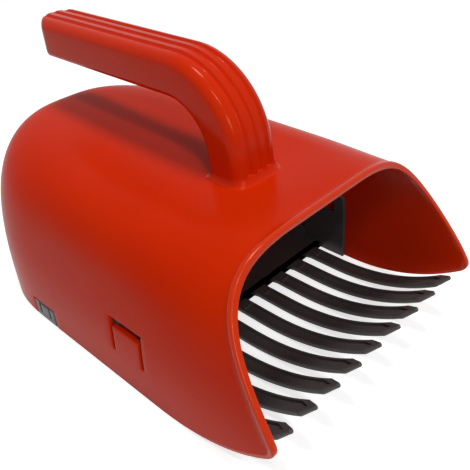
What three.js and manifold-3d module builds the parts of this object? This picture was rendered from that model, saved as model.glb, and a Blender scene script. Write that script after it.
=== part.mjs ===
// Berry picking rake: a moulded scoop with an overhanging handle and a snap-in comb.
// Millimetres, +X towards the tine tips, +Y to the left, +Z up, standing on z = 0.
import * as THREE from 'three';
import { mergeVertices } from 'three/addons/utils/BufferGeometryUtils.js';
import Module from 'manifold-3d';

const wasm = await Module();
wasm.setup();

// Driving dimensions of the comb
const tineCount = 9;
const tinePitch = 15.5;
const tineWidth = 8.5;
const tineThickness = 3.2;
const tineChamfer = 0.9;
const tineTipLength = 6.5;
const tineTipReach = 1.4;
const tineTipWidth = 1.8;
const tineTipThickness = 1.8;
const slotRoot = 91.5;
const channelWall = 1.2;
const channelDepth = 1.5;
const channelSetback = 6;
const channelRamp = 0.8;
const channelTipGap = 3.5;
const channelTipLength = 7;
const flangeHeight = 9;
const flangeThickness = 2;

// Driving dimensions of the hood, which is as wide as the row of tines asks for
const hoodLength = 232.6;
const outerGap = 7.75;
const wall = 2.5;
const hoodHalfWidth = ((tineCount - 1) * tinePitch + tineWidth) / 2 + outerGap + wall;
const hoodHeight = 90.5;
const sideHeight = 12;
const shoulderReach = 86;
const crownHalfWidth = 43.5;
const rearCornerLength = 73;
const rearCornerPower = 3.1;
const rearRoundHeight = 24;
const rearRoundLength = 17.5;

// Driving dimensions of the mouth, as seen from the side
const bowLength = 72;
const bowHeight = 23;
const bowFootReach = 32;
const bowRise = 18;
const tipHeight = 31;
const tipBackset = 3;
const mouthSetback = 33.5;
const mouthLowerReach = 13;
const mouthHollow = 8;
const mouthUpperReach = 15.5;
const mouthUpperSetback = 35;
const lipWidth = 3.2;
const lipProud = 0.5;
const lipRound = 1;

// Driving dimensions of the handle
const gripHalfWidth = 13.4;
const gripHalfHeight = 10.2;
const gripTop = 140.5;
const gripEnd = 216;
const gripEndBulge = 8;
const gripEndRound = 3.5;
const gripBelly = 3;
const gripShoulder = 5.2;
const gripCrown = 0.8;
const bendRadius = 33.7;
const bendCentre = 116.4;
const bendSweep = 80;
const grooveSpacing = 6.1;
const grooveHalfWidth = 1.9;
const grooveDepth = 1.2;
const footReach = 5.5;
const footFlare = 3.5;
const footRise = 4.5;
const footEdge = 0.4;

// Driving dimensions of the clips
const windowFront = 77.8;
const windowLength = 23.2;
const windowBottom = 19.3;
const windowTop = 39.5;
const clipSideSlot = 2.2;
const clipTopSlot = 5.2;
const catchReach = 2.2;
const catchHeight = 4;
const catchMargin = 3;
const catchPlay = 1;
const earMargin = 3;
const earHeight = 44;
const earRound = 6;
const notchFront = 155.6;
const notchLength = 19.6;
const notchHeight = 11.4;
const padBar = 1;
const tongueWidth = 8;
const tongueSlit = 1.2;
const tongueRoot = 3.2;

// Fits and mesh steps
const clearance = 0.3;
const overrun = 5;
const bowRows = 9;
const tipRows = 3;
const archRows = 16;
const straightColumns = 5;
const cornerColumns = 12;
const roundSteps = 4;
const bendSteps = 10;
const tineSteps = 8;
const halvings = 40;
const grooveShares = [1, 1 / 2, 0, -1 / 2, -1];
const endShares = [1 / 3, 2 / 3];

const point = (x, z) => new THREE.Vector2(x, z);
const corner = (x, y, z) => new THREE.Vector3(x, y, z);
const { degToRad, lerp, smoothstep } = THREE.MathUtils;

// Front edge of the hood in side view: the bow under the tines, the low tip, then up to the crown
const bowCurve = new THREE.CubicBezierCurve(
  point(-bowLength, 0),
  point(-bowLength + bowFootReach, 0),
  point(-bowRise, bowHeight / 2),
  point(-tipBackset, bowHeight),
);
const tipCurve = new THREE.QuadraticBezierCurve(
  point(-tipBackset, bowHeight),
  point(tipBackset / 2, (bowHeight + tipHeight) / 2),
  point(-tipBackset / 2, tipHeight),
);
const mouthCurve = new THREE.CubicBezierCurve(
  point(-tipBackset / 2, tipHeight),
  point(-mouthHollow, tipHeight + mouthLowerReach),
  point(-mouthUpperSetback, hoodHeight - mouthUpperReach),
  point(-mouthSetback, hoodHeight),
);

// Rear of the hood in side view, above its upright face
const rearCurve = (inset) => new THREE.CubicBezierCurve(
  point(-hoodLength + inset, hoodHeight - rearRoundHeight),
  point(-hoodLength + inset, hoodHeight - inset),
  point(-hoodLength + inset, hoodHeight - inset),
  point(-hoodLength + rearRoundLength, hoodHeight - inset),
);

// One half of the hood's cross-section above its upright sides
const archCurve = new THREE.CubicBezierCurve(
  point(hoodHalfWidth, sideHeight),
  point(hoodHalfWidth, sideHeight + shoulderReach),
  point(crownHalfWidth, hoodHeight),
  point(0, hoodHeight),
);

// Share of a rising curve's length at which it reaches a height
function shareAt(curve, height) {
  let low = 0;
  let high = 1;
  for (let i = 0; i < halvings; i += 1) {
    const middle = (low + high) / 2;
    if (curve.getPointAt(middle).y < height) low = middle;
    else high = middle;
  }
  return low;
}

function frontX(height) {
  const upper = height < tipHeight ? tipCurve : mouthCurve;
  const curve = height < bowHeight ? bowCurve : upper;
  return curve.getPointAt(shareAt(curve, height)).x;
}

function rearX(height, inset) {
  const curve = rearCurve(inset);
  return curve.getPointAt(shareAt(curve, height)).x;
}

// Points of the cross-section from base to crown, each with the direction that faces out
function sectionPoints() {
  const onArch = (share) => {
    const tangent = archCurve.getTangentAt(share);
    return { at: archCurve.getPointAt(share), out: point(tangent.y, -tangent.x) };
  };
  const bow = bowCurve.getSpacedPoints(bowRows);
  const tip = tipCurve.getSpacedPoints(tipRows).slice(1);
  const lower = [...bow, ...tip].map(({ y }) => {
    if (y > sideHeight) return onArch(shareAt(archCurve, y));
    return { at: point(hoodHalfWidth, y), out: point(1, 0) };
  });
  const start = shareAt(archCurve, tipHeight);
  const upper = [];
  for (let i = 1; i <= archRows; i += 1) upper.push(onArch(lerp(start, 1, i / archRows)));
  return [...lower, ...upper];
}

const section = sectionPoints();

// Half width and height of one row of the hood, moved in from its outside
function hoodRow(index, inset) {
  const { at, out } = section[index];
  const halfWidth = index + 1 < section.length ? at.x - inset * out.x : 0;
  return { halfWidth, height: Math.min(at.y, hoodHeight) - inset * out.y };
}

// One side of a row, from the mouth back to the middle of the rear
function halfOutline(index, inset, proud) {
  const row = hoodRow(index, inset);
  const raised = hoodRow(index, inset - proud);
  const front = frontX(row.height);
  const cornerStart = rearX(row.height, inset) + rearCornerLength - inset;
  const lip = [
    { back: 0, lift: 0 },
    { back: lipRound, lift: 1 / 2 },
    { back: lipWidth - lipRound, lift: 1 },
    { back: lipWidth, lift: 0 },
  ];
  const points = lip.map(({ back, lift }) => corner(
    front - back,
    -lerp(row.halfWidth, raised.halfWidth, lift),
    lerp(row.height, raised.height, lift),
  ));
  for (let i = 1; i <= straightColumns; i += 1) {
    const x = lerp(front - lipWidth, cornerStart, i / straightColumns);
    points.push(corner(x, -row.halfWidth, row.height));
  }
  for (let i = 1; i <= cornerColumns; i += 1) {
    const turn = (i / cornerColumns) * (Math.PI / 2);
    const back = (rearCornerLength - inset) * Math.sin(turn) ** (2 / rearCornerPower);
    const across = row.halfWidth * Math.abs(Math.cos(turn)) ** (2 / rearCornerPower);
    points.push(corner(cornerStart - back, i < cornerColumns ? -across : 0, row.height));
  }
  return points;
}

// Rows of the hood from mouth edge to mouth edge, with the lip raised where it is asked for
function hoodGrid(inset, proud) {
  return section.map(({ at }, index) => {
    const rise = smoothstep(at.y, bowHeight, tipHeight);
    const near = halfOutline(index, inset, proud * rise);
    const far = near.slice(0, -1).reverse().map((p) => corner(p.x, -p.y, p.z));
    return [...near, ...far];
  });
}

// Collects faces by their corners and turns them into one body that faces out
class Faces {
  constructor() {
    this.corners = [];
  }

  triangle(a, b, c) {
    this.corners.push(a, b, c);
  }

  strip(from, to) {
    for (let i = 0; i + 1 < from.length; i += 1) {
      this.triangle(from[i], from[i + 1], to[i + 1]);
      this.triangle(from[i], to[i + 1], to[i]);
    }
  }

  sheet(rows) {
    for (let i = 0; i + 1 < rows.length; i += 1) this.strip(rows[i], rows[i + 1]);
  }

  geometry() {
    let volume = 0;
    for (let i = 0; i < this.corners.length; i += 3) {
      const [a, b, c] = this.corners.slice(i, i + 3);
      volume += a.dot(b.clone().cross(c));
    }
    const facing = volume < 0 ? [0, 2, 1] : [0, 1, 2];
    const places = [];
    for (let i = 0; i < this.corners.length; i += 3) {
      facing.forEach((k) => places.push(...this.corners[i + k].toArray()));
    }
    const body = new THREE.BufferGeometry();
    body.setAttribute('position', new THREE.Float32BufferAttribute(places, 3));
    return body;
  }
}

// Body through a row of closed rings, with a fan on each end
function loft(rings) {
  const faces = new Faces();
  faces.sheet(rings.map((ring) => [...ring, ring[0]]));
  [rings[0], [...rings[rings.length - 1]].reverse()].forEach((ring) => {
    const middle = ring.reduce((sum, p) => sum.add(p), corner(0, 0, 0)).divideScalar(ring.length);
    ring.forEach((p, i) => faces.triangle(middle, ring[(i + 1) % ring.length], p));
  });
  return toSolid(faces.geometry());
}

// Closed body as a solid, without the faces that the merging of equal points has emptied
function toSolid(body) {
  const bare = body.clone();
  bare.deleteAttribute('normal');
  bare.deleteAttribute('uv');
  const merged = mergeVertices(bare);
  const order = merged.index.array;
  const kept = [];
  for (let i = 0; i < order.length; i += 3) {
    const [a, b, c] = order.slice(i, i + 3);
    if (a !== b && b !== c && c !== a) kept.push(a, b, c);
  }
  return new wasm.Manifold(new wasm.Mesh({
    numProp: 3,
    vertProperties: new Float32Array(merged.attributes.position.array),
    triVerts: new Uint32Array(kept),
  }));
}

function toGeometry(solid) {
  const mesh = solid.getMesh();
  const body = new THREE.BufferGeometry();
  body.setAttribute('position', new THREE.BufferAttribute(mesh.vertProperties, 3));
  body.setIndex(new THREE.BufferAttribute(mesh.triVerts, 1));
  return body;
}

// Box between two corners
function block(low, high) {
  const size = high.clone().sub(low);
  const middle = low.clone().add(high).divideScalar(2);
  const body = new THREE.BoxGeometry(size.x, size.y, size.z);
  return toSolid(body.translate(middle.x, middle.y, middle.z));
}

// Outline given in plan, raised to a height
function plate(shape, height) {
  return toSolid(new THREE.ExtrudeGeometry(shape, { depth: height, bevelEnabled: false }));
}

// Outline given in side view, run across the whole width
function sidePlate(shape) {
  const width = 2 * (hoodHalfWidth + overrun);
  const body = new THREE.ExtrudeGeometry(shape, {
    depth: width,
    bevelEnabled: false,
    curveSegments: roundSteps,
  });
  return toSolid(body.rotateX(Math.PI / 2).translate(0, width / 2, 0));
}

// The same body on the other side of the middle plane
const mirrored = (solid) => solid.mirror([0, 1, 0]);

// Solid block with the hood's outside, moved in or out
function hoodBlock(inset) {
  const rows = hoodGrid(inset, 0);
  const middle = (rows[0].length - 1) / 2;
  const faces = new Faces();
  faces.sheet(rows);
  faces.strip(rows.map((row) => row[0]), rows.map((row) => row[row.length - 1]));
  faces.strip(rows[0].slice(middle).reverse(), rows[0].slice(0, middle + 1));
  return toSolid(faces.geometry());
}

// Even wall of the hood, open below and at the mouth
function hoodWall() {
  const outside = hoodGrid(0, lipProud);
  const inside = hoodGrid(wall, 0);
  const last = outside[0].length - 1;
  const faces = new Faces();
  faces.sheet(outside);
  faces.sheet(inside.map((row) => [...row].reverse()));
  faces.strip(outside.map((row) => row[0]), inside.map((row) => row[0]));
  faces.strip(inside.map((row) => row[last]), outside.map((row) => row[last]));
  faces.strip(inside[0], outside[0]);
  return toSolid(faces.geometry());
}

// Window for the side clips and notch for the comb's pads, through both sides
const across = hoodHalfWidth + overrun;
const windowBack = windowFront + windowLength;
const notchBack = notchFront + notchLength;
const sideWindow = block(
  corner(-windowBack, -across, windowBottom),
  corner(-windowFront, across, windowTop),
);
const rearNotch = block(
  corner(-notchBack, -across, -overrun),
  corner(-notchFront, across, notchHeight),
);

// Spring clip left standing in the window, with a catch along its free edge
const clipBack = -windowBack + clipSideSlot;
const clipFront = -windowFront - clipSideSlot;
const clipTop = windowTop - clipTopSlot;
const innerSide = wall - hoodHalfWidth;

function sideClip(wallSolid) {
  const tongue = wallSolid.intersect(block(
    corner(clipBack, -across, windowBottom + clearance),
    corner(clipFront, 0, clipTop),
  ));
  const catchShape = new THREE.Shape([
    point(innerSide - wall / 2, clipTop),
    point(innerSide + catchReach, clipTop),
    point(innerSide + catchReach, clipTop - catchHeight / 3),
    point(innerSide, clipTop - catchHeight),
    point(innerSide - wall / 2, clipTop - catchHeight),
  ]);
  const length = clipFront - clipBack - 2 * catchMargin;
  const rib = new THREE.ExtrudeGeometry(catchShape, { depth: length, bevelEnabled: false });
  rib.rotateX(Math.PI / 2).rotateZ(Math.PI / 2).translate(clipBack + catchMargin, 0, 0);
  return tongue.add(toSolid(rib));
}

// Spring tongue of the comb between the two slits of a rear pad
const tongueMiddle = -(notchFront + notchBack) / 2;
const pocketTop = notchHeight - clearance - padBar;

function rearClip(wallSolid) {
  return wallSolid.intersect(block(
    corner(tongueMiddle - tongueWidth / 2, -across, tongueRoot + clearance),
    corner(tongueMiddle + tongueWidth / 2, 0, pocketTop - clearance),
  ));
}

// Ring of a tine about a point of its underside, with the channel sunk in its top
function tineRing(at, along, { halfWidth, keel, channel, depth }) {
  const chamfer = Math.min(tineChamfer, halfWidth / 2);
  const side = [
    [halfWidth - chamfer, keel],
    [halfWidth, keel + chamfer],
    [halfWidth, tineThickness],
    [channel, tineThickness],
    [channel, tineThickness - depth],
  ];
  const other = [...side].reverse().map(([y, up]) => [-y, up]);
  return [...side, ...other].map(([y, up]) => corner(
    at.x - up * along.y,
    y,
    at.y + up * along.x,
  ));
}

// One tine: straight from the slot root, then up along the bow to a V-shaped tip
function tine() {
  const channelHalf = tineWidth / 2 - channelWall;
  const full = { halfWidth: tineWidth / 2, keel: 0, channel: channelHalf, depth: channelDepth };
  const solid = { ...full, depth: 0 };
  const level = bowCurve.getTangentAt(0);
  const channelStart = -slotRoot + channelSetback;
  const rings = [
    tineRing(point(-slotRoot - channelSetback, 0), level, solid),
    tineRing(point(channelStart, 0), level, solid),
    tineRing(point(channelStart + channelRamp, 0), level, full),
  ];
  const length = bowCurve.getLength();
  const shareBefore = (gap) => 1 - gap / length;
  const onBow = (share, shape) => {
    rings.push(tineRing(bowCurve.getPointAt(share), bowCurve.getTangentAt(share), shape));
  };
  const channelCorner = shareBefore(channelTipGap + channelTipLength);
  for (let i = 0; i <= tineSteps; i += 1) onBow(channelCorner * (i / tineSteps), full);
  const narrowed = (tineTipLength - channelTipGap) / channelTipLength;
  onBow(shareBefore(tineTipLength), { ...full, channel: channelHalf * narrowed });
  const tip = { halfWidth: tineTipWidth / 2, keel: tineThickness - tineTipThickness };
  const tipShare = (tineTipLength - channelTipGap) / (tineTipLength + tineTipReach);
  onBow(shareBefore(channelTipGap), {
    halfWidth: lerp(full.halfWidth, tip.halfWidth, tipShare),
    keel: lerp(0, tip.keel, tipShare),
    channel: 0,
    depth: 0,
  });
  const ahead = bowCurve.getTangentAt(1);
  const end = bowCurve.getPointAt(1).addScaledVector(ahead, tineTipReach);
  rings.push(tineRing(end, ahead, { ...tip, channel: 0, depth: 0 }));
  return loft(rings);
}

// Floor of the comb inside the hood, with a rounded root between each two tines
const combInset = wall + clearance;

function combFloor() {
  const rim = halfOutline(0, combInset, 0).filter((p) => p.x < -slotRoot);
  const near = [corner(-slotRoot, rim[0].y, 0), ...rim];
  const far = near.slice(0, -1).reverse().map((p) => corner(p.x, -p.y, p.z));
  const shape = new THREE.Shape([...near, ...far].map((p) => point(p.x, p.y)));
  let floor = plate(shape, tineThickness);
  const rootRadius = (tinePitch - tineWidth) / 2;
  const rootHeight = 2 * (tineThickness + overrun);
  const root = new THREE.CylinderGeometry(rootRadius, rootRadius, rootHeight, 4 * roundSteps);
  const rootSolid = toSolid(root.rotateX(Math.PI / 2));
  for (let i = 0; i <= tineCount; i += 1) {
    const y = (i - tineCount / 2) * tinePitch;
    floor = floor.subtract(rootSolid.translate([-slotRoot, y, 0]));
  }
  return floor;
}

// Upright ear behind each side clip, with rounded upper corners
const earFront = -windowFront + earMargin;
const earBack = -windowBack - earMargin;

function earShape() {
  const shape = new THREE.Shape();
  shape.moveTo(earBack, 0);
  shape.lineTo(earFront, 0);
  shape.lineTo(earFront, earHeight - earRound);
  shape.quadraticCurveTo(earFront, earHeight, earFront - earRound, earHeight);
  shape.lineTo(earBack + earRound, earHeight);
  shape.quadraticCurveTo(earBack, earHeight, earBack, earHeight - earRound);
  return shape;
}

function comb() {
  let body = combFloor();
  const oneTine = tine();
  for (let i = 0; i < tineCount; i += 1) {
    const y = (i - (tineCount - 1) / 2) * tinePitch;
    body = body.add(oneTine.translate([0, y, 0]));
  }

  const lining = hoodBlock(combInset).subtract(hoodBlock(combInset + flangeThickness));
  const flange = lining.intersect(block(
    corner(-hoodLength, -across, -overrun),
    corner(earFront, across, flangeHeight),
  ));
  const ears = lining.intersect(sidePlate(earShape()));
  const catchWindow = block(
    corner(clipBack + catchMargin - catchPlay, -across, clipTop - catchHeight - catchPlay),
    corner(clipFront - catchMargin + catchPlay, across, clipTop + catchPlay),
  );

  const padBlock = hoodBlock(0).subtract(hoodBlock(combInset + flangeThickness));
  const pads = padBlock.intersect(block(
    corner(-notchBack + clearance, -across, -overrun),
    corner(-notchFront - clearance, across, notchHeight - clearance),
  ));
  const pockets = block(
    corner(tongueMiddle - tongueWidth / 2 - tongueSlit, -across, tongueRoot),
    corner(tongueMiddle + tongueWidth / 2 + tongueSlit, across, pocketTop),
  );
  return body.add(flange).add(ears.subtract(catchWindow)).add(pads).subtract(pockets);
}

// Height of the grip's crowned top over its centre line
const gripTopAt = (y) => gripHalfHeight - gripCrown * (y / gripHalfWidth) ** 2;

// Half of the grip's section from its underside to its middle, with the grooves of its top
function gripHalf(depth) {
  const half = [];
  for (let i = 0; i <= roundSteps; i += 1) {
    const turn = (i / roundSteps) * (Math.PI / 2);
    half.push([
      gripHalfWidth - gripBelly * (1 - Math.sin(turn)),
      -gripHalfHeight + gripBelly * (1 - Math.cos(turn)),
    ]);
  }
  for (let i = 0; i <= roundSteps; i += 1) {
    const turn = (i / roundSteps) * (Math.PI / 2);
    const y = gripHalfWidth - gripShoulder * (1 - Math.cos(turn));
    half.push([y, gripTopAt(y) - gripShoulder * (1 - Math.sin(turn))]);
  }
  [grooveSpacing, 0].forEach((middle) => {
    grooveShares.forEach((share) => {
      const y = middle + share * grooveHalfWidth;
      const sunk = Math.abs(share) < 1 ? depth : 0;
      if (y >= 0) half.push([y, gripTopAt(y) - sunk]);
    });
  });
  return half;
}

// Ring of the handle about a point of its centre line
function gripRing(centre, tilt, { grow, share, depth, bulge, flare }) {
  const half = gripHalf(depth);
  const other = half.slice(0, -1).reverse().map(([y, up]) => [-y, up]);
  const wide = share * (1 + grow / gripHalfWidth);
  const tall = share * (1 + grow / gripHalfHeight);
  return [...half, ...other].map(([y, up]) => {
    const bulged = bulge * (1 - (wide * y / gripHalfWidth) ** 2);
    const flared = flare * ((1 + up / gripHalfHeight) / 2) ** 2;
    const raised = tall * up + footReach * flared;
    return corner(
      centre.x + raised * Math.sin(tilt) - bulged,
      y * (wide + (footFlare * flared) / gripHalfWidth),
      centre.y + raised * Math.cos(tilt),
    );
  });
}

// Handle: bulging end, straight grip, bend, post and a foot that flares out over the crown
function handle() {
  const plain = { grow: 0, share: 1, depth: 0, bulge: 0, flare: 0 };
  const grooved = { ...plain, depth: grooveDepth };
  const axisHeight = gripTop - gripHalfHeight;
  const endAt = (x) => point(-gripEnd + x, axisHeight);
  const rings = endShares.map((share) => gripRing(endAt(0), 0, {
    ...plain,
    grow: -gripEndRound,
    share,
    bulge: gripEndBulge,
  }));
  for (let i = 0; i <= roundSteps; i += 1) {
    const turn = (i / roundSteps) * (Math.PI / 2);
    rings.push(gripRing(endAt(gripEndRound * (1 - Math.cos(turn))), 0, {
      ...(i < roundSteps ? plain : grooved),
      grow: -gripEndRound * (1 - Math.sin(turn)),
      bulge: gripEndBulge,
    }));
  }
  rings.push(gripRing(endAt(gripEndRound + gripEndBulge), 0, grooved));

  const onBend = (turn) => point(
    -bendCentre + bendRadius * Math.sin(turn),
    axisHeight - bendRadius * (1 - Math.cos(turn)),
  );
  const lean = degToRad(bendSweep);
  for (let i = 0; i <= bendSteps; i += 1) {
    const turn = lean * (i / bendSteps);
    rings.push(gripRing(onBend(turn), turn, grooved));
  }

  const postTop = onBend(lean);
  const onPost = (height, shape) => {
    const ahead = (postTop.y - height) / Math.tan(lean);
    rings.push(gripRing(point(postTop.x + ahead, height), Math.PI / 2, shape));
  };
  for (let i = 0; i <= roundSteps; i += 1) {
    const turn = (i / roundSteps) * (Math.PI / 2);
    const height = hoodHeight + footEdge + footRise * (1 - Math.sin(turn));
    const flare = 1 - Math.cos(turn);
    if (i <= 1) onPost(height, { ...grooved, flare });
    if (i > 0) onPost(height, { ...plain, flare });
  }
  onPost(hoodHeight - wall, { ...plain, flare: 1 });
  return loft(rings).subtract(hoodBlock(-clearance));
}

const hoodPlastic = { color: 0xc62c10, roughness: 0.32, metalness: 0 };
const combPlastic = { color: 0x484140, roughness: 0.5, metalness: 0 };
const rake = new THREE.Group();
rake.name = 'berry_picking_rake';

// Adds a named piece with its own origin
function addPiece(name, solid, finish, origin) {
  const body = toGeometry(solid).translate(-origin.x, -origin.y, -origin.z);
  const mesh = new THREE.Mesh(body, new THREE.MeshStandardMaterial(finish));
  mesh.name = name;
  mesh.position.copy(origin);
  rake.add(mesh);
}

const wallSolid = hoodWall();
const sideRoot = corner((clipBack + clipFront) / 2, wall / 2 - hoodHalfWidth, windowBottom);
const rearRoot = corner(tongueMiddle, wall / 2 - hoodHalfWidth, tongueRoot);
const base = corner(-hoodLength / 2, 0, 0);
const leftOf = (p) => corner(p.x, -p.y, p.z);

addPiece('hood_shell', wallSolid.subtract(sideWindow).subtract(rearNotch), hoodPlastic, base);
addPiece('handle', handle(), hoodPlastic, corner(-bendCentre, 0, hoodHeight));
addPiece('comb', comb(), combPlastic, base);
addPiece('side_clip_right', sideClip(wallSolid), hoodPlastic, sideRoot);
addPiece('side_clip_left', mirrored(sideClip(wallSolid)), hoodPlastic, leftOf(sideRoot));
addPiece('rear_clip_right', rearClip(wallSolid), combPlastic, rearRoot);
addPiece('rear_clip_left', mirrored(rearClip(wallSolid)), combPlastic, leftOf(rearRoot));

const spread = new THREE.Box3().setFromObject(rake);
rake.position.x = -spread.getCenter(corner(0, 0, 0)).x;

export default rake;
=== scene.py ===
"""Looks of a berry picking rake: a red moulded scoop with a grooved handle and a dark snap-in comb.

Lengths of the object are in millimetres until a mesh is made. As in the part's source, x runs
forward from the rear of the hood and is 0 at the tips, y is across and z is up from the ground.
The camera, the floor and the lamps are placed in metres.
"""

import math

import bmesh
import bpy
import numpy as np
from mathutils import Euler, Matrix, Vector


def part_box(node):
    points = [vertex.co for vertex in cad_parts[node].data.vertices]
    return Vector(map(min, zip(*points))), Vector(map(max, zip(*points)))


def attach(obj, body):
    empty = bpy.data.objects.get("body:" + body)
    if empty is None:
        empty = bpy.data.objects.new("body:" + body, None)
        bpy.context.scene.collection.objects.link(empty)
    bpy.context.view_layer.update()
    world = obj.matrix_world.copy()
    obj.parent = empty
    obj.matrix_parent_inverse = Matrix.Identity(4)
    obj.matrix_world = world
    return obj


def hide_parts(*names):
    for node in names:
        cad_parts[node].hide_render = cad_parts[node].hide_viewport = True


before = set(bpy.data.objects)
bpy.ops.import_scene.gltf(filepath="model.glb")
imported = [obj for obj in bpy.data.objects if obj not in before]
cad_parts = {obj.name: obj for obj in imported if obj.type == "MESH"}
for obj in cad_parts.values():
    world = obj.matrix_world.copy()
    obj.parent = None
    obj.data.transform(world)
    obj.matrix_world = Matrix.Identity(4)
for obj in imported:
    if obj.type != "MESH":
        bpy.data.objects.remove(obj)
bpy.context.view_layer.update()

MM = 0.001

# Hood
HOOD_LENGTH = 232.6
HOOD_HALF_WIDTH = 76.5
HOOD_HEIGHT = 90.5
WALL = 2.5
SIDE_HEIGHT = 12
SHOULDER_REACH = 86
CROWN_HALF_WIDTH = 43.5
REAR_CORNER_LENGTH = 73
REAR_CORNER_POWER = 3.1
REAR_ROUND_HEIGHT = 24
REAR_ROUND_LENGTH = 17.5
BACK_CROWN_DROP = 3.6
BACK_CROWN_HALF_WIDTH = 57
BACK_START = 30
BACK_FULL = 85
BACK_FADE = 115
BACK_TOP_SHARE = 3 / 4
SIDE_TOP_SHARE = 2 / 3

# Mouth, as seen from the side
BOW_LENGTH = 72
BOW_HEIGHT = 23
BOW_FOOT_REACH = 32
BOW_RISE = 18
TIP_HEIGHT = 31
TIP_BACKSET = 3
MOUTH_SETBACK = 33.5
MOUTH_LOWER_REACH = 13
MOUTH_HOLLOW = 8
MOUTH_UPPER_REACH = 15.5
MOUTH_UPPER_SETBACK = 35
LIP_WIDTH = 3.2
# Width of the band along the mouth's front edge that gets the lighter rim red, a painted highlight
PAINTED_RIM_HIGHLIGHT_BAND = 2.8

# Handle
GRIP_HALF_WIDTH = 13.4
GRIP_HALF_HEIGHT = 10.2
GRIP_TOP = 140.5
GRIP_END = 216
GRIP_END_BULGE = 8
GRIP_END_ROUND = 3.5
GRIP_BELLY = 3
GRIP_SHOULDER = 5.2
GRIP_CROWN = 0.8
BEND_RADIUS = 33.7
BEND_CENTRE = 116.4
BEND_SWEEP = 80
GROOVE_SPACING = 6.1
GROOVE_HALF_WIDTH = 1.9
GROOVE_DEPTH = 1.5
FOOT_REACH = 2.2
FOOT_BACK = 3
FOOT_FLARE = 2.2
FOOT_RISE = 4.6

# Comb
TINE_COUNT = 9
TINE_PITCH = 15.5
TINE_WIDTH = 8.5
TINE_THICKNESS = 3.2
TINE_CHAMFER = 0.9
TINE_TIP_LENGTH = 6.5
TINE_TIP_REACH = 1.4
TINE_TIP_WIDTH = 1.8
TINE_TIP_THICKNESS = 1.8
SLOT_ROOT = 91.5
CHANNEL_WALL = 1.2
CHANNEL_DEPTH = 1.5
CHANNEL_SETBACK = 6
CHANNEL_TIP_GAP = 3.5
CHANNEL_TIP_LENGTH = 7
FLANGE_HEIGHT = 9
FLANGE_THICKNESS = 2

# Lifts that keep the undersides of the comb's plates out of the plane of its floor
PLATE_LIFT = 0.03
PAD_LIFT = PLATE_LIFT / 2

# Clips
WINDOW_FRONT = 77.8
WINDOW_LENGTH = 23.2
WINDOW_BOTTOM = 19.3
WINDOW_TOP = 39.5
CLIP_SIDE_SLOT = 2.2
CLIP_TOP_SLOT = 5.2
CATCH_REACH = 2.2
CATCH_HEIGHT = 4
CATCH_MARGIN = 3
CATCH_PLAY = 1
EAR_MARGIN = 3
EAR_HEIGHT = 44
EAR_ROUND = 6
NOTCH_FRONT = 155.6
NOTCH_LENGTH = 19.6
NOTCH_HEIGHT = 11.4
PAD_BAR = 1
PAD_GAP = 0.7
TONGUE_WIDTH = 8
TONGUE_SLIT = 1.2
TONGUE_ROOT = 3.2

CLEARANCE = 0.3
EDGE_ROUND = 0.35
COMB_EDGE_ROUND = EDGE_ROUND / 1.5
ROUNDING_SEGMENTS = 3
TOLERANCE = 0.03
WELD_DISTANCE = 0.001
POINT_DIGITS = 4
GRID_STEP = 2.2
LONG_STEP = 2 * GRID_STEP
CURVE_STEPS = 400
SHARP_ANGLE = math.radians(38)

# The frame's x at the tips, where the source's x is 0
TIP_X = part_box("hood_shell")[0].x / MM + HOOD_LENGTH


def bezier(*points):
    """Points along a Bezier curve of any degree."""
    t = np.linspace(0, 1, CURVE_STEPS)[:, None]
    layers = [np.ones_like(t) * np.array(p, float) for p in points]
    while len(layers) > 1:
        layers = [(1 - t) * a + t * b for a, b in zip(layers, layers[1:])]
    return layers[0]


def lengths(points):
    """Length run up to each point of a polyline."""
    steps = np.linalg.norm(np.diff(points, axis=0), axis=1)
    return np.concatenate([[0], np.cumsum(steps)])


def smoothstep(value, low, high):
    t = min(max((value - low) / (high - low), 0), 1)
    return t * t * (3 - 2 * t)


def lerp(a, b, t):
    return a + (b - a) * t


def spread(breaks, step):
    """The break values with even steps between them, none longer than step."""
    values = [breaks[0]]
    for a, b in zip(breaks, breaks[1:]):
        count = max(1, math.ceil(abs(b - a) / step))
        values += [lerp(a, b, i / count) for i in range(1, count + 1)]
    return values


# Front edge of the hood in side view, from the ground under the tines to the crown
bow = bezier(
    (-BOW_LENGTH, 0),
    (-BOW_LENGTH + BOW_FOOT_REACH, 0),
    (-BOW_RISE, BOW_HEIGHT / 2),
    (-TIP_BACKSET, BOW_HEIGHT),
)
tip = bezier(
    (-TIP_BACKSET, BOW_HEIGHT),
    (TIP_BACKSET / 2, (BOW_HEIGHT + TIP_HEIGHT) / 2),
    (-TIP_BACKSET / 2, TIP_HEIGHT),
)
mouth = bezier(
    (-TIP_BACKSET / 2, TIP_HEIGHT),
    (-MOUTH_HOLLOW, TIP_HEIGHT + MOUTH_LOWER_REACH),
    (-MOUTH_UPPER_SETBACK, HOOD_HEIGHT - MOUTH_UPPER_REACH),
    (-MOUTH_SETBACK, HOOD_HEIGHT),
)
front = np.vstack([bow, tip[1:], mouth[1:]])


def front_x(height):
    return np.interp(height, front[:, 1], front[:, 0])


def rear_x(height, inset):
    """Rear of the hood in side view: upright, then rounded into the crown."""
    curve = bezier(
        (-HOOD_LENGTH + inset, HOOD_HEIGHT - REAR_ROUND_HEIGHT),
        (-HOOD_LENGTH + inset, HOOD_HEIGHT - inset),
        (-HOOD_LENGTH + inset, HOOD_HEIGHT - inset),
        (-HOOD_LENGTH + REAR_ROUND_LENGTH, HOOD_HEIGHT - inset),
    )
    return np.interp(height, curve[:, 1], curve[:, 0])


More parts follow.
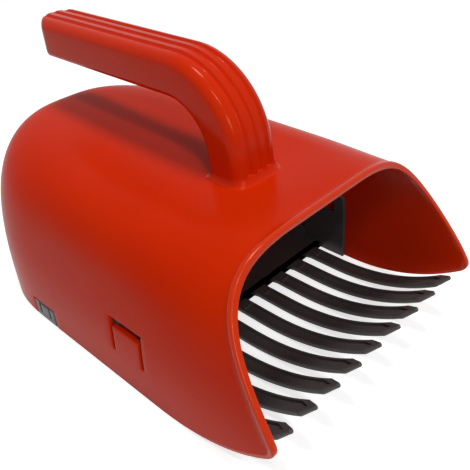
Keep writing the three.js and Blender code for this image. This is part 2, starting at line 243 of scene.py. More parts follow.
def section_line(crown_half_width, height):
    """One half of a cross-section from the ground to the middle of the crown."""
    side = np.linspace((HOOD_HALF_WIDTH, 0), (HOOD_HALF_WIDTH, SIDE_HEIGHT), CURVE_STEPS)[:-1]
    arch = bezier(
        (HOOD_HALF_WIDTH, SIDE_HEIGHT),
        (HOOD_HALF_WIDTH, SIDE_HEIGHT + SHOULDER_REACH),
        (crown_half_width, height),
        (0, height),
    )
    points = np.vstack([side, arch])
    points[:, 1] = np.minimum(points[:, 1], height)
    return points


def hood_section():
    """One half of the cross-section as rows of y, z and the direction that faces out."""
    points = section_line(CROWN_HALF_WIDTH, HOOD_HEIGHT)
    tangents = np.gradient(points, axis=0)
    tangents /= np.linalg.norm(tangents, axis=1)[:, None]
    return np.column_stack([points, tangents[:, 1], -tangents[:, 0]])


section = hood_section()
section_run = lengths(section[:, :2]) + lengths(front_x(section[:, 1])[:, None])
section_side = section[:, 1] < HOOD_HEIGHT * SIDE_TOP_SHARE
back_section = section_line(BACK_CROWN_HALF_WIDTH, HOOD_HEIGHT - BACK_CROWN_DROP)


def run_at(height):
    """Place along the section at which its side reaches a height."""
    return np.interp(height, section[section_side, 1], section_run[section_side])


def section_at(run, inset):
    """Half width and height of the section at a place along it, moved in from the outside."""
    y, z, out_y, out_z = (np.interp(run, section_run, column) for column in section.T)
    if run >= section_run[-1]:
        return 0, z - inset
    return y - inset * out_y, z - inset * out_z


def corner_share(x, height, inset):
    """Share of the half width that the rounded rear corner leaves at a place."""
    length = REAR_CORNER_LENGTH - inset
    back = (rear_x(height, inset) + length - x) / length
    back = min(max(back, 0), 1)
    return (1 - back**REAR_CORNER_POWER) ** (1 / REAR_CORNER_POWER)


def hood_point(run, x, inset):
    half_width, height = section_at(run, inset)
    return x, -half_width * corner_share(x, height, inset), height


def mirrored(points):
    return [(x, -y, z) for x, y, z in points]


def make_piece(
    name, points, faces, body, replaces, finish, rounding=None, rounded=None, material=None,
):
    """Makes a mesh piece from millimetre points, rounds its sharp edges and hands it over."""
    mesh = bpy.data.meshes.new(name)
    places = [((x + TIP_X) * MM, y * MM, z * MM) for x, y, z in points]
    mesh.from_pydata(places, [], faces)
    work = bmesh.new()
    work.from_mesh(mesh)
    bmesh.ops.remove_doubles(work, verts=work.verts, dist=WELD_DISTANCE * MM)
    bmesh.ops.recalc_face_normals(work, faces=work.faces)
    if work.calc_volume(signed=True) < 0:
        bmesh.ops.reverse_faces(work, faces=work.faces)
    weights = work.edges.layers.float.new("bevel_weight_edge")
    for edge in work.edges:
        sharp = len(edge.link_faces) == 2 and edge.calc_face_angle() > SHARP_ANGLE
        middle = (edge.verts[0].co + edge.verts[1].co) / 2 / MM
        middle.x -= TIP_X
        if rounding and sharp and (rounded is None or rounded(middle)):
            edge[weights] = 1
    work.to_mesh(mesh)
    work.free()
    piece = bpy.data.objects.new(name, mesh)
    bpy.context.scene.collection.objects.link(piece)
    if rounding:
        bevel = piece.modifiers.new("rounding", "BEVEL")
        bevel.limit_method = "WEIGHT"
        bevel.width = rounding * MM
        bevel.segments = ROUNDING_SEGMENTS
        bevel.use_clamp_overlap = False
        settle(piece)
    for face in piece.data.polygons:
        face.use_smooth = True
    piece.data.set_sharp_from_angle(angle=SHARP_ANGLE)
    piece.data.materials.append(finishes[material or finish])
    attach(piece, body)
    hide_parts(*replaces)
    return piece


def settle(piece):
    """Applies a piece's modifiers to its mesh."""
    graph = bpy.context.evaluated_depsgraph_get()
    mesh = bpy.data.meshes.new_from_object(piece.evaluated_get(graph))
    piece.modifiers.clear()
    old = piece.data
    piece.data = mesh
    bpy.data.meshes.remove(old)


def slab(outer, inner, kept):
    """Closed slab between two grids of points, without the cells that are cut out."""
    numbers = {}
    points = []

    def number(point):
        key = tuple(round(value, POINT_DIGITS) for value in point)
        if key not in numbers:
            numbers[key] = len(points)
            points.append(point)
        return numbers[key]

    rows, columns = len(outer), len(outer[0])
    over = [[number(p) for p in row] for row in outer]
    under = [[number(p) for p in row] for row in inner]
    below = {}
    for r in range(rows):
        for c in range(columns):
            below[over[r][c]] = under[r][c]
    faces = []
    edges = {}
    for r in range(rows - 1):
        for c in range(columns - 1):
            if not kept(r, c):
                continue
            corners = [(r, c), (r, c + 1), (r + 1, c + 1), (r + 1, c)]
            top = [over[i][j] for i, j in corners]
            faces.append(top)
            faces.append([under[i][j] for i, j in reversed(corners)])
            for a, b in zip(top, top[1:] + top[:1]):
                if a != b and edges.pop((b, a), None) is None:
                    edges[(a, b)] = True
    faces += [[b, a, below[a], below[b]] for a, b in edges]
    clean = [list(dict.fromkeys(face)) for face in faces]
    return points, [face for face in clean if len(face) >= 3]


# Rim of the hood: back from the mouth, and depth in the wall with a lip and without one
RIM_BACK_SHARES = (0, 0.02, 0.09, 0.22, 0.42, 0.68, 0.82, 0.92, 1)
RIM_LIP_SHARES = (0.34, 0.16, 0, -0.14, -0.2, -0.2, -0.15, -0.05, 0)
RIM_INNER_SHARES = (0.84, 0.92, 0.98, 1, 1, 1, 1, 1, 1)

window_back = WINDOW_FRONT + WINDOW_LENGTH
notch_back = NOTCH_FRONT + NOTCH_LENGTH
clip_back = -window_back + CLIP_SIDE_SLOT
clip_front = -WINDOW_FRONT - CLIP_SIDE_SLOT
clip_top = WINDOW_TOP - CLIP_TOP_SLOT
FRONT_COLUMNS = 18
CORNER_COLUMNS = 34
LEAST_HALF_WIDTH = 1

hood_stations = spread(
    [-WINDOW_FRONT, clip_front, clip_back, -window_back, -NOTCH_FRONT, -notch_back],
    LONG_STEP,
)
hood_runs = spread(
    [0, *(run_at(z) for z in (NOTCH_HEIGHT, WINDOW_BOTTOM, WINDOW_TOP)), section_run[-1]],
    GRID_STEP,
)


def back_share(x):
    """How far the flatter section of the hood's back has taken over."""
    return smoothstep(-x, BACK_START, BACK_FULL) * (1 - smoothstep(-x, BACK_FADE, HOOD_LENGTH))


def settled(point, run):
    """A hood point moved towards the flatter section, above the height of the side windows."""
    x, y, z = point
    half_width, height = section_at(run, 0)
    wider, taller = (
        np.interp(run, section_run, back_section[:, i] - section[:, i]) * back_share(x)
        * smoothstep(height, WINDOW_TOP, HOOD_HEIGHT * BACK_TOP_SHARE)
        for i in (0, 1)
    )
    return x, y * (1 + wider / max(half_width, LEAST_HALF_WIDTH)), z + taller


def corner_points(height, inset, half_width):
    """Points round the rear corner at a height, from the notch to the middle of the rear."""
    length = REAR_CORNER_LENGTH - inset
    start = float(rear_x(height, inset)) + length
    begun = max(start + notch_back, 0) / length
    first = math.asin(begun ** (REAR_CORNER_POWER / 2))
    points = []
    for i in range(1, CORNER_COLUMNS + 1):
        turn = lerp(first, math.pi / 2, i / CORNER_COLUMNS)
        x = start - length * math.sin(turn) ** (2 / REAR_CORNER_POWER)
        across = half_width * max(math.cos(turn), 0) ** (2 / REAR_CORNER_POWER)
        points.append((x, -across if i < CORNER_COLUMNS else 0, height))
    return points


def hood_row(run, outside):
    """Points of one side of a hood row, from the mouth back to the middle of the rear."""
    inset = 0 if outside else WALL
    half_width, height = section_at(run, inset)
    front_of_row = float(front_x(height))
    lip = smoothstep(height, BOW_HEIGHT, TIP_HEIGHT)
    edge = smoothstep(height, 0, SIDE_HEIGHT / 2)
    points = []
    for back, proud, inner in zip(RIM_BACK_SHARES, RIM_LIP_SHARES, RIM_INNER_SHARES):
        plain = max(proud, 0)
        share = lerp(plain * edge, proud, lip) if outside else lerp(1, inner, edge)
        points.append(hood_point(run, front_of_row - back * LIP_WIDTH, share * WALL))
    start = front_of_row - LIP_WIDTH
    for i in range(1, FRONT_COLUMNS):
        points.append(hood_point(run, lerp(start, -WINDOW_FRONT, i / FRONT_COLUMNS), inset))
    points += [hood_point(run, x, inset) for x in hood_stations]
    points += corner_points(height, inset, half_width)
    return [settled(point, run) for point in points]


def hood_grid(outside):
    rows = []
    for run in hood_runs:
        near = hood_row(run, outside)
        rows.append(near + mirrored(near[:-1])[::-1])
    return rows


def nearest(values, target):
    return int(np.argmin(np.abs(np.array(values) - target)))


def make_hood():
    outer = hood_grid(True)
    columns = len(outer[0])
    first = len(RIM_BACK_SHARES) + FRONT_COLUMNS - 1
    cuts = []
    for low, high, x_front, x_back in (
        (WINDOW_BOTTOM, WINDOW_TOP, -WINDOW_FRONT, -window_back),
        (0, NOTCH_HEIGHT, -NOTCH_FRONT, -notch_back),
    ):
        cuts.append((
            nearest(hood_runs, run_at(low)),
            nearest(hood_runs, run_at(high)),
            first + nearest(hood_stations, x_front),
            first + nearest(hood_stations, x_back),
        ))

    def kept(r, c):
        c = min(c, columns - 2 - c)
        return not any(low <= r < high and a <= c < b for low, high, a, b in cuts)

    def rounded(middle):
        root = abs(middle.z - WINDOW_BOTTOM) < EDGE_ROUND and clip_back < middle.x < clip_front
        return middle.x < -WINDOW_FRONT + EDGE_ROUND and not root

    points, faces = slab(outer, hood_grid(False), kept)
    hood = make_piece(
        "hood", points, faces, "rake", ["hood_shell"], "red_plastic", EDGE_ROUND, rounded,
    )
    # Faces near the mouth's front edge get the lighter rim red and more gloss: the lighter red is a
    # painted highlight along the rim
    hood.data.materials.append(finishes["rim_painted_highlight_plastic"])
    for face in hood.data.polygons:
        middle = face.center / MM
        if front_x(middle.z) - (middle.x - TIP_X) < PAINTED_RIM_HIGHLIGHT_BAND:
            face.material_index = 1


def loft(rings):
    """Closed body through a row of rings, with a fan on each end."""
    size = len(rings[0])
    points = [p for ring in rings for p in ring]
    faces = []
    for r in range(len(rings) - 1):
        for i in range(size):
            j = (i + 1) % size
            faces.append([r * size + i, r * size + j, (r + 1) * size + j, (r + 1) * size + i])
    for ring, start, step in ((rings[0], 0, -1), (rings[-1], (len(rings) - 1) * size, 1)):
        points.append(tuple(np.mean(ring, axis=0)))
        middle = len(points) - 1
        for i in range(size):
            pair = [start + i, start + (i + 1) % size]
            faces.append([middle, *pair[::step]])
    return points, faces


GRIP_ROUND_STEPS = 8
GROOVE_FLOOR_SHARE = 0.45
GROOVE_STEPS = 10


def grip_outline(depth):
    """Half of the handle's section as y and height over its centre, from belly to middle."""
    half = []
    for i in range(GRIP_ROUND_STEPS + 1):
        turn = i / GRIP_ROUND_STEPS * math.pi / 2
        half.append((
            GRIP_HALF_WIDTH - GRIP_BELLY * (1 - math.sin(turn)),
            -GRIP_HALF_HEIGHT + GRIP_BELLY * (1 - math.cos(turn)),
        ))

    def top(y):
        return GRIP_HALF_HEIGHT - GRIP_CROWN * (y / GRIP_HALF_WIDTH) ** 2

    for i in range(GRIP_ROUND_STEPS + 1):
        turn = i / GRIP_ROUND_STEPS * math.pi / 2
        y = GRIP_HALF_WIDTH - GRIP_SHOULDER * (1 - math.cos(turn))
        half.append((y, top(y) - GRIP_SHOULDER * (1 - math.sin(turn))))
    for middle in (GROOVE_SPACING, 0):
        for i in range(GROOVE_STEPS + 1):
            side = 1 - 2 * i / GROOVE_STEPS
            y = middle + side * GROOVE_HALF_WIDTH
            if y < -TOLERANCE:
                continue
            wall = (1 - abs(side)) / (1 - GROOVE_FLOOR_SHARE)
            half.append((max(y, 0), top(y) - depth * smoothstep(wall, 0, 1)))
    return half


def grip_ring(x, z, tilt, grow=0, share=1, depth=0, bulge=0, flare=0):
    """Ring of the handle about a point of its centre line."""
    half = grip_outline(depth)
    wide = share * (1 + grow / GRIP_HALF_WIDTH)
    tall = share * (1 + grow / GRIP_HALF_HEIGHT)
    outline = half + [(-y, up) for y, up in half[:-1]][::-1]
    ring = []
    for y, up in outline:
        bulged = bulge * (1 - (wide * y / GRIP_HALF_WIDTH) ** 2)
        ahead = (1 + up / GRIP_HALF_HEIGHT) / 2
        raised = tall * up + flare * (FOOT_REACH * ahead - FOOT_BACK * (1 - ahead))
        ring.append((
            x + raised * math.sin(tilt) - bulged,
            y * (wide + flare * FOOT_FLARE / GRIP_HALF_WIDTH),
            z + raised * math.cos(tilt),
        ))
    return ring


END_STEPS = 8
BEND_STEPS = 48
FOOT_STEPS = 10
LEDGE_STEP = 1
CAP_SHARES = (0.15, 0.4, 0.65, 0.85)


def make_handle():
    axis_height = GRIP_TOP - GRIP_HALF_HEIGHT
    rings = [
        grip_ring(-GRIP_END, axis_height, 0, -GRIP_END_ROUND, share, bulge=GRIP_END_BULGE)
        for share in CAP_SHARES
    ]
    for i in range(END_STEPS + 1):
        turn = i / END_STEPS * math.pi / 2
        rings.append(grip_ring(
            -GRIP_END + GRIP_END_ROUND * (1 - math.cos(turn)),
            axis_height,
            0,
            grow=-GRIP_END_ROUND * (1 - math.sin(turn)),
            depth=GROOVE_DEPTH * smoothstep(i, END_STEPS / 2, END_STEPS),
            bulge=GRIP_END_BULGE,
        ))
    straight_end = -GRIP_END + GRIP_END_ROUND + GRIP_END_BULGE
    straight = spread([straight_end, -BEND_CENTRE], 2 * LONG_STEP)
    rings += [grip_ring(x, axis_height, 0, depth=GROOVE_DEPTH) for x in straight[:-1]]

    lean = math.radians(BEND_SWEEP)
    for i in range(BEND_STEPS + 1):
        turn = lean * i / BEND_STEPS
        x = -BEND_CENTRE + BEND_RADIUS * math.sin(turn)
        z = axis_height - BEND_RADIUS * (1 - math.cos(turn))
        rings.append(grip_ring(x, z, turn, depth=GROOVE_DEPTH))

    def on_post(height, flare, depth):
        ahead = (z - height) / math.tan(lean)
        ring = grip_ring(x + ahead, height, math.pi / 2, flare=flare, depth=depth)
        rings.append([(px, py, pz - BACK_CROWN_DROP * back_share(px)) for px, py, pz in ring])

    for i in range(FOOT_STEPS + 1):
        turn = i / FOOT_STEPS * math.pi / 2
        height = HOOD_HEIGHT + FOOT_RISE * (1 - math.sin(turn))
        flare = 1 - math.cos(turn)
        if i <= LEDGE_STEP:
            on_post(height, flare, GROOVE_DEPTH)
        if i >= LEDGE_STEP:
            on_post(height - (EDGE_ROUND / 2 if i == LEDGE_STEP else 0), flare, 0)
    on_post(HOOD_HEIGHT - WALL / 2, 1, 0)
    points, faces = loft(rings)
    make_piece(
        "handle_grip", points, faces, "rake", ["handle"], "red_plastic", material="handle_plastic",
    )


def patch(x_values, z_values, outside, inside, side, holes=(), top=None):
    """Slab that follows the hood's side, between two depths in its wall."""
    grids = []
    for inset in (outside, inside):
        rows = []
        for z in z_values:
            row = []
            for x in x_values:
                height = z if top is None else top(x, z)
                x_at, y, _ = hood_point(run_at(height), x, inset)
                row.append((x_at, side * y, height))
            rows.append(row)
        grids.append(rows)

    def kept(r, c):
        x = (x_values[c] + x_values[c + 1]) / 2
        z = (z_values[r] + z_values[r + 1]) / 2
        return not any(a < x < b and low < z < high for a, b, low, high in holes)

    return slab(*grids, kept)


def joined(parts):
    """Several bodies as one list of points and faces."""
    points, faces = [], []
    for part_points, part_faces in parts:
        start = len(points)
        points += part_points
        faces += [[start + i for i in face] for face in part_faces]
    return points, faces


def make_side_clip(side, name):
    x_values = spread([clip_back, clip_front], GRID_STEP)
    z_values = spread([WINDOW_BOTTOM, clip_top], GRID_STEP)
    tongue = patch(x_values, z_values, 0, WALL, side)
    inner = HOOD_HALF_WIDTH - WALL
    profile = [
        (inner + WALL / 2, clip_top - CLEARANCE),
        (inner - CATCH_REACH, clip_top - CLEARANCE),
        (inner - CATCH_REACH, clip_top - CATCH_HEIGHT / 3),
        (inner, clip_top - CATCH_HEIGHT),
        (inner + WALL / 2, clip_top - CATCH_HEIGHT),
    ]
    ends = (clip_back + CATCH_MARGIN, clip_front - CATCH_MARGIN)
    catch = loft([[(x, -side * y, z) for y, z in profile] for x in ends])
    points, faces = joined([tongue, catch])

    def rounded(middle):
        return middle.z > WINDOW_BOTTOM + EDGE_ROUND

    make_piece(
        name + "_tab", points, faces, name, [name], "red_plastic", EDGE_ROUND, rounded,
    )


tongue_middle = -(NOTCH_FRONT + notch_back) / 2
pocket_top = NOTCH_HEIGHT - CLEARANCE - PAD_BAR


def make_rear_clip(side, name):
    half = TONGUE_WIDTH / 2
    x_values = spread([tongue_middle - half, tongue_middle + half], GRID_STEP)
    z_values = spread([TONGUE_ROOT - CLEARANCE, pocket_top - CLEARANCE], GRID_STEP)
    points, faces = patch(x_values, z_values, 0, WALL, side)
    make_piece(name + "_tongue", points, faces, name, [name], "dark_plastic", EDGE_ROUND)


comb_inset = WALL + CLEARANCE
comb_inside = comb_inset + FLANGE_THICKNESS
ear_front = -WINDOW_FRONT + EAR_MARGIN
ear_back = -window_back - EAR_MARGIN
channel_start = -SLOT_ROOT + CHANNEL_SETBACK
gap_round = (TINE_PITCH - TINE_WIDTH) / 2


def tine_shape(gap):
    """Half width, raised keel and channel half width of a tine at a distance from its end."""
    from_tip = gap + TINE_TIP_REACH
    taper = min(from_tip / (TINE_TIP_LENGTH + TINE_TIP_REACH), 1)
    half_width = lerp(TINE_TIP_WIDTH / 2, TINE_WIDTH / 2, taper)
    keel = (TINE_THICKNESS - TINE_TIP_THICKNESS) * (1 - taper)
    channel = (TINE_WIDTH / 2 - CHANNEL_WALL) * min((gap - CHANNEL_TIP_GAP) / CHANNEL_TIP_LENGTH, 1)
    return half_width, keel, max(channel, 0)


def tine_stations():
    """Places along a tine as x, z, the direction there and the distance from the end."""
    run = lengths(bow)
    straight = spread([-SLOT_ROOT, channel_start, -BOW_LENGTH], LONG_STEP)
    stations = [(x, 0, 1, 0, run[-1] - BOW_LENGTH - x) for x in straight[:-1]]
    ends = [0, run[-1] - CHANNEL_TIP_GAP - CHANNEL_TIP_LENGTH, run[-1] - TINE_TIP_LENGTH]
    tangents = np.gradient(bow, axis=0)
    tangents /= np.linalg.norm(tangents, axis=1)[:, None]
    for at in spread([*ends, run[-1] - CHANNEL_TIP_GAP, run[-1]], GRID_STEP):
        x, z = (np.interp(at, run, column) for column in bow.T)
        along_x, along_z = (np.interp(at, run, column) for column in tangents.T)
        stations.append((x, z, along_x, along_z, run[-1] - at))
    x, z, along_x, along_z, _ = stations[-1]
    reach = TINE_TIP_REACH
    stations.append((x + reach * along_x, z + reach * along_z, along_x, along_z, -reach))
    return stations


def tine():
    """One tine: straight from its slot root, then up the bow to a V-shaped tip, with a channel."""
    stations = tine_stations()
    floor = TINE_THICKNESS - CHANNEL_DEPTH
    points, faces, rows = [], [], []
    for number, (x, z, along_x, along_z, gap) in enumerate(stations):
        half_width, keel, channel = tine_shape(gap)
        chamfer = min(TINE_CHAMFER, half_width / 2) * (number > 0)
        outline = [
            (half_width - chamfer, keel),
            (half_width, keel + chamfer),
            (half_width, TINE_THICKNESS),
            (channel, TINE_THICKNESS),
        ]
        outline += [(-y, up) for y, up in outline[::-1]]
        outline += [(channel, floor), (-channel, floor)]
        rows.append([len(points) + i for i in range(len(outline))])
        points += [(x - up * along_z, y, z + up * along_x) for y, up in outline]

    # Corners 0 to 7 run round the tine, with the channel's edges at 3 and 4. 8 and 9 are its floor.
    around = [(7, 0), (0, 1), (1, 2), (2, 3), (4, 5), (5, 6), (6, 7)]
    lid = [(3, 4)]
    trough = [(3, 8), (8, 9), (9, 4)]
    begun = nearest([s[0] for s in stations], channel_start)
    closed = next(i for i, s in enumerate(stations) if i > begun and tine_shape(s[4])[2] == 0)
    for i in range(len(rows) - 1):
        near, far = rows[i], rows[i + 1]
        if i < begun:
            pairs = around + lid
        elif i < closed:
            pairs = around + trough
        else:
            pairs = around
        faces += [[near[a], near[b], far[b], far[a]] for a, b in pairs]
    first = rows[begun]
    faces.append([first[3], first[4], first[9], first[8]])
    faces.append([rows[-1][i] for i in range(len(around) + len(lid))])
    return points, faces


def comb_floor():
    """Floor plate with a rounded root between each two tines, open where the tines go on."""
    top, low = TINE_THICKNESS, 0
    channel = tine_shape(BOW_LENGTH)[2]
    edge = []
    for i in range(TINE_COUNT + 1):
        y = (i - TINE_COUNT / 2) * TINE_PITCH
        for k in range(GRIP_ROUND_STEPS + 1):
            turn = math.pi * k / GRIP_ROUND_STEPS
            x = -SLOT_ROOT - gap_round * math.sin(turn)
            edge.append((x, y - gap_round * math.cos(turn)))
        if i < TINE_COUNT:
            middle = y + TINE_PITCH / 2
            edge.append((-SLOT_ROOT, middle - channel))
            edge.append((-SLOT_ROOT, middle + channel))
    inset = comb_inset + FLANGE_THICKNESS / 2
    rim = [hood_point(0, x, inset) for x in spread([-SLOT_ROOT, -notch_back], LONG_STEP)]
    half_width, _ = section_at(0, inset)
    rim += corner_points(0, inset, half_width)
    rim += mirrored(rim[:-1])[::-1]
    outline = edge + [(x, y) for x, y, _ in rim[::-1]]
    size = len(outline)
    points = [(x, y, top) for x, y in outline] + [(x, y, low) for x, y in outline]
    faces = [list(range(size)), list(range(size, 2 * size))[::-1]]
    for i in range(size):
        j = (i + 1) % size
        on_root = abs(outline[i][0] + SLOT_ROOT) < EDGE_ROUND and outline[j][0] == outline[i][0]
        on_tine = on_root and abs(outline[i][1]) < TINE_COUNT * TINE_PITCH / 2 - gap_round
        if not on_tine:
            faces.append([i, j, size + j, size + i])
    return points, faces


def ear_top(x, z):
    """Height of the ear's grid at a place, drawn down at its rounded upper corners."""
    straight = EAR_HEIGHT - EAR_ROUND
    if z <= straight:
        return z
    edge = min(ear_front - x, x - ear_back)
    over = max(EAR_ROUND - edge, 0) / EAR_ROUND
    rise = EAR_ROUND * math.sqrt(max(1 - over**2, 0))
    return straight + rise * (z - straight) / EAR_ROUND


def comb_ear(side):
    """Upright plate behind a side clip, with the window for the clip's catch."""
    hole_back = clip_back + CATCH_MARGIN - CATCH_PLAY
    hole_front = clip_front - CATCH_MARGIN + CATCH_PLAY
    hole_low = clip_top - CATCH_HEIGHT - CATCH_PLAY
    hole_high = clip_top + CATCH_PLAY
    round_columns = spread([0, EAR_ROUND], 2 * EDGE_ROUND)
    columns = sorted({
        *(ear_back + step for step in round_columns),
        *(ear_front - step for step in round_columns),
        hole_back,
        hole_front,
        *spread([ear_back + EAR_ROUND, ear_front - EAR_ROUND], GRID_STEP),
    })
    breaks = [PLATE_LIFT, hole_low, hole_high, EAR_HEIGHT - EAR_ROUND, EAR_HEIGHT]
    hole = (hole_back, hole_front, hole_low, hole_high)
    rows = spread(breaks, GRID_STEP)
    return patch(columns, rows, comb_inset, comb_inside, side, [hole], ear_top)


def comb_pad(side):
    """Pad that fills the rear notch, with the pocket for the rear clip's tongue."""
    slit = TONGUE_WIDTH / 2 + TONGUE_SLIT
    slit_back, slit_front = tongue_middle - slit, tongue_middle + slit
    pad_front, pad_back = -NOTCH_FRONT - PAD_GAP, -notch_back + PAD_GAP
    columns = spread([pad_back, slit_back, slit_front, pad_front], GRID_STEP)
    rows = spread([PAD_LIFT, TONGUE_ROOT, pocket_top, NOTCH_HEIGHT - PAD_GAP], GRID_STEP)
    pocket = (slit_back, slit_front, TONGUE_ROOT, pocket_top)
    return patch(columns, rows, 0, comb_inside, side, [pocket])


def flange_row(z, inset):
    """Row of the flange at a height, from one ear round the rear to the other."""
    run = run_at(z)
    near = [hood_point(run, x, inset) for x in spread([ear_back, -notch_back], LONG_STEP)]
    half_width, _ = section_at(run, inset)
    near += corner_points(z, inset, half_width)
    return near + mirrored(near[:-1])[::-1]


def make_comb():
    parts = []
    tine_points, tine_faces = tine()
    for i in range(TINE_COUNT):
        across = (i - (TINE_COUNT - 1) / 2) * TINE_PITCH
        parts.append(([(x, y + across, z) for x, y, z in tine_points], tine_faces))
    parts.append(comb_floor())
    for side in (1, -1):
        parts.append(comb_ear(side))
        parts.append(comb_pad(side))
    heights = spread([PLATE_LIFT, FLANGE_HEIGHT], GRID_STEP)
    outer, inner = ([flange_row(z, inset) for z in heights] for inset in (comb_inset, comb_inside))
    parts.append(slab(outer, inner, lambda r, c: True))
    points, faces = joined(parts)
    make_piece("comb_tines", points, faces, "rake", ["comb"], "dark_plastic", COMB_EDGE_ROUND)


def principled(name):
    """A node material with its shader."""
    material = bpy.data.materials.new(name)
    material.use_nodes = True
    nodes = material.node_tree.nodes
    return material, nodes, material.node_tree.links, nodes["Principled BSDF"]


def noise(nodes, links, coordinates, scale, detail, roughness=0.5):
    node = nodes.new("ShaderNodeTexNoise")
    node.inputs["Scale"].default_value = scale
    node.inputs["Detail"].default_value = detail
    node.inputs["Roughness"].default_value = roughness
    links.new(coordinates, node.inputs["Vector"])
    return node.outputs["Fac"]


NEW_STOP_PLACE = 0.5


def ramp(nodes, links, value, stops):
    """Colour ramp from places and colours."""
    node = nodes.new("ShaderNodeValToRGB")
    links.new(value, node.inputs["Fac"])
    elements = node.color_ramp.elements
    while len(elements) < len(stops):
        elements.new(NEW_STOP_PLACE)
    for element, (place, colour) in zip(elements, stops):
        element.position = place
        element.color = (*colour, 1)
    return node.outputs["Color"]


def ranged(nodes, links, value, low, high):
    node = nodes.new("ShaderNodeMapRange")
    node.inputs["To Min"].default_value = low
    node.inputs["To Max"].default_value = high
    links.new(value, node.inputs["Value"])
    return node.outputs["Result"]


def shown(nodes, links):
    """1 for the rays that see the white background: those of the camera, of gloss and of glass."""
    rays = nodes.new("ShaderNodeLightPath")
    total = rays.outputs["Is Camera Ray"]
    for name in ("Is Glossy Ray", "Is Transmission Ray"):
        node = nodes.new("ShaderNodeMath")
        node.operation = "MAXIMUM"
        links.new(total, node.inputs[0])
        links.new(rays.outputs[name], node.inputs[1])
        total = node.outputs[0]
    return total


# Colours as a darker and a lighter mottle, and grains as a noise scale and a depth in millimetres
RED = ((0.580, 0.020, 0.001), (0.610, 0.023, 0.001))
# The rim's red is a lighter copy of the hood's red: a painted highlight along the mouth's rim
PAINTED_RIM_HIGHLIGHT_RED = ((0.600, 0.026, 0.001), (0.630, 0.030, 0.001))
DARK_GREY = ((0.060, 0.052, 0.052), (0.078, 0.068, 0.068))
RED_GRAIN = (500, 0.002)
GREY_GRAIN = (1100, 0.03)
WARM_TINT = (1, 0.6, 0.45)
NO_TINT = (1, 1, 1)

MOTTLE_SCALE = 22
MOTTLE_DETAIL = 3
MOTTLE_PLACES = (0.3, 0.7)
SHEEN_SCALE = 60
SHEEN_DETAIL = 4
SHEEN_ROUGHNESS = 0.6
GRAIN_DETAIL = 5
GRAIN_ROUGHNESS = 0.55


def moulded_plastic(name, colours, grain, roughness, specular, tint):
    """Moulded plastic with a faint mottling, a varying gloss and a fine grain."""
    material, nodes, links, shader = principled(name)
    shader.inputs["Specular IOR Level"].default_value = specular
    shader.inputs["Specular Tint"].default_value = (*tint, 1)
    place = nodes.new("ShaderNodeTexCoord").outputs["Object"]
    mottle = noise(nodes, links, place, MOTTLE_SCALE, MOTTLE_DETAIL)
    stops = list(zip(MOTTLE_PLACES, colours))
    links.new(ramp(nodes, links, mottle, stops), shader.inputs["Base Color"])
    sheen = noise(nodes, links, place, SHEEN_SCALE, SHEEN_DETAIL, SHEEN_ROUGHNESS)
    links.new(ranged(nodes, links, sheen, *roughness), shader.inputs["Roughness"])
    grain_scale, grain_depth = grain
    bump = nodes.new("ShaderNodeBump")
    bump.inputs["Strength"].default_value = 1
    bump.inputs["Distance"].default_value = grain_depth * MM
    height = noise(nodes, links, place, grain_scale, GRAIN_DETAIL, GRAIN_ROUGHNESS)
    links.new(height, bump.inputs["Height"])
    links.new(bump.outputs["Normal"], shader.inputs["Normal"])
    return material


finishes = {
    "red_plastic": moulded_plastic(
        "red_plastic", RED, RED_GRAIN, roughness=(0.26, 0.32), specular=0.045, tint=WARM_TINT,
    ),
    "handle_plastic": moulded_plastic(
        "handle_plastic", RED, RED_GRAIN, roughness=(0.14, 0.18), specular=0.11, tint=WARM_TINT,
    ),
    # The rim's finish: a lighter red, which is a painted highlight, and a glossier surface that
    # catches the lamps
    "rim_painted_highlight_plastic": moulded_plastic(
        "rim_painted_highlight_plastic", PAINTED_RIM_HIGHLIGHT_RED, RED_GRAIN, roughness=(0.17, 0.23), specular=0.28, tint=WARM_TINT,
    ),
    "dark_plastic": moulded_plastic(
        "dark_plastic", DARK_GREY, GREY_GRAIN, roughness=(0.28, 0.40), specular=0.25, tint=NO_TINT,
    ),
}


# Camera fitted to the photograph: place in metres, turn in degrees and lens in millimetres
CAMERA_PLACE = (0.21825, -0.18542, 0.23094)
CAMERA_TURN = (55.499, 3.583, 43.735)
CAMERA_LENS = 48.842
CAMERA_NEAR = 0.01


def make_camera():
    camera = bpy.data.objects.new("camera", bpy.data.cameras.new("camera"))
    camera.data.lens = CAMERA_LENS
    camera.data.clip_start = CAMERA_NEAR
    turn = Euler([math.radians(angle) for angle in CAMERA_TURN]).to_matrix()
    camera.matrix_world = Matrix.Translation(CAMERA_PLACE) @ turn.to_4x4()
    bpy.context.scene.collection.objects.link(camera)
    bpy.context.scene.camera = camera


FLOOR_SIZE = 6
FLOOR_DROP = 0.0002
FLOOR_SHADE = 0.65
FLOOR_ROUGHNESS = 0.9
FLOOR_GLOW = 0.68


def make_floor():
    """White floor that glows where it is seen or mirrored and keeps the object's shadow."""
    mesh = bpy.data.meshes.new("floor")
    half = FLOOR_SIZE / 2
    corners = [(-half, -half, 0), (half, -half, 0), (half, half, 0), (-half, half, 0)]
    mesh.from_pydata(corners, [], [[0, 1, 2, 3]])
    floor = bpy.data.objects.new("floor", mesh)
    floor.location.z = -FLOOR_DROP
    bpy.context.scene.collection.objects.link(floor)
    material, nodes, links, shader = principled("floor")
    shader.inputs["Base Color"].default_value = (FLOOR_SHADE, FLOOR_SHADE, FLOOR_SHADE, 1)
    shader.inputs["Roughness"].default_value = FLOOR_ROUGHNESS
    shader.inputs["Specular IOR Level"].default_value = 0
    shader.inputs["Emission Color"].default_value = (1, 1, 1, 1)
    links.new(
        ranged(nodes, links, shown(nodes, links), 0, FLOOR_GLOW),
        shader.inputs["Emission Strength"],
    )
    mesh.materials.append(material)


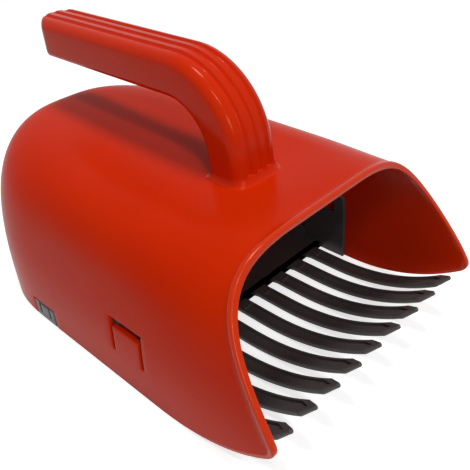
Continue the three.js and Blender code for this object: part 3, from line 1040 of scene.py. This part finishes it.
def area_light(name, place, aim, size, power, along=None):
    """Disk lamp that faces a point, or a strip lamp of that width with a length along an axis."""
    light = bpy.data.lights.new(name, "AREA")
    light.energy = power
    ahead = (Vector(aim) - Vector(place)).normalized()
    if along is None:
        light.shape = "DISK"
        light.size = size
        turn = ahead.to_track_quat("-Z", "Y").to_matrix()
    else:
        axis = Vector(along)
        light.shape = "RECTANGLE"
        light.size = axis.length
        light.size_y = size
        across = (axis - axis.dot(ahead) * ahead).normalized()
        turn = Matrix((across, across.cross(ahead), -ahead)).transposed()
    lamp = bpy.data.objects.new(name, light)
    lamp.matrix_world = Matrix.Translation(place) @ turn.to_4x4()
    bpy.context.scene.collection.objects.link(lamp)


# Lamps: places, sizes and the strip's axis in metres, powers in watts
OVERHEAD_PLACE = (0.0, 0.04, 1.2)
OVERHEAD_AIM = (0, 0, 0)
OVERHEAD_SIZE = 0.3
OVERHEAD_POWER = 5.9
STRIP_PLACE = (0.6, -0.39, 1.02)
STRIP_AIM = (0, 0, 0.1)
STRIP_WIDTH = 0.05
STRIP_POWER = 3
STRIP_AXIS = (0.26, 0.11, -0.15)
FRONT_PLACE = (1.0, -0.42, 0.56)
FRONT_AIM = (0, 0, 0.05)
FRONT_SIZE = 0.35
FRONT_POWER = 2.8

# Grey of the room at heights from its horizon up to its top
ROOM_SHADES = ((0, 0.09), (0.3, 0.14), (0.8, 0.24))


def make_lights():
    """Soft lamps above and in front, a strip lamp for the handle's highlight, and a grey room."""
    area_light("overhead", OVERHEAD_PLACE, OVERHEAD_AIM, OVERHEAD_SIZE, OVERHEAD_POWER)
    area_light("strip", STRIP_PLACE, STRIP_AIM, STRIP_WIDTH, STRIP_POWER, along=STRIP_AXIS)
    area_light("front", FRONT_PLACE, FRONT_AIM, FRONT_SIZE, FRONT_POWER)
    world = bpy.data.worlds.new("studio")
    bpy.context.scene.world = world
    world.use_nodes = True
    nodes, links = world.node_tree.nodes, world.node_tree.links
    place = nodes.new("ShaderNodeTexCoord").outputs["Generated"]
    parts = nodes.new("ShaderNodeSeparateXYZ")
    links.new(place, parts.inputs["Vector"])
    stops = [(height, (shade,) * 3) for height, shade in ROOM_SHADES]
    shades = ramp(nodes, links, parts.outputs["Z"], stops)
    links.new(shades, nodes["Background"].inputs["Color"])
    white = nodes.new("ShaderNodeBackground")
    both = nodes.new("ShaderNodeMixShader")
    links.new(shown(nodes, links), both.inputs["Fac"])
    links.new(nodes["Background"].outputs["Background"], both.inputs[1])
    links.new(white.outputs["Background"], both.inputs[2])
    links.new(both.outputs["Shader"], nodes["World Output"].inputs["Surface"])


make_hood()
make_handle()
make_comb()
for side, name in ((1, "right"), (-1, "left")):
    make_side_clip(side, "side_clip_" + name)
    make_rear_clip(side, "rear_clip_" + name)
make_camera()
make_floor()
make_lights()
bpy.context.scene.view_settings.view_transform = "Standard"
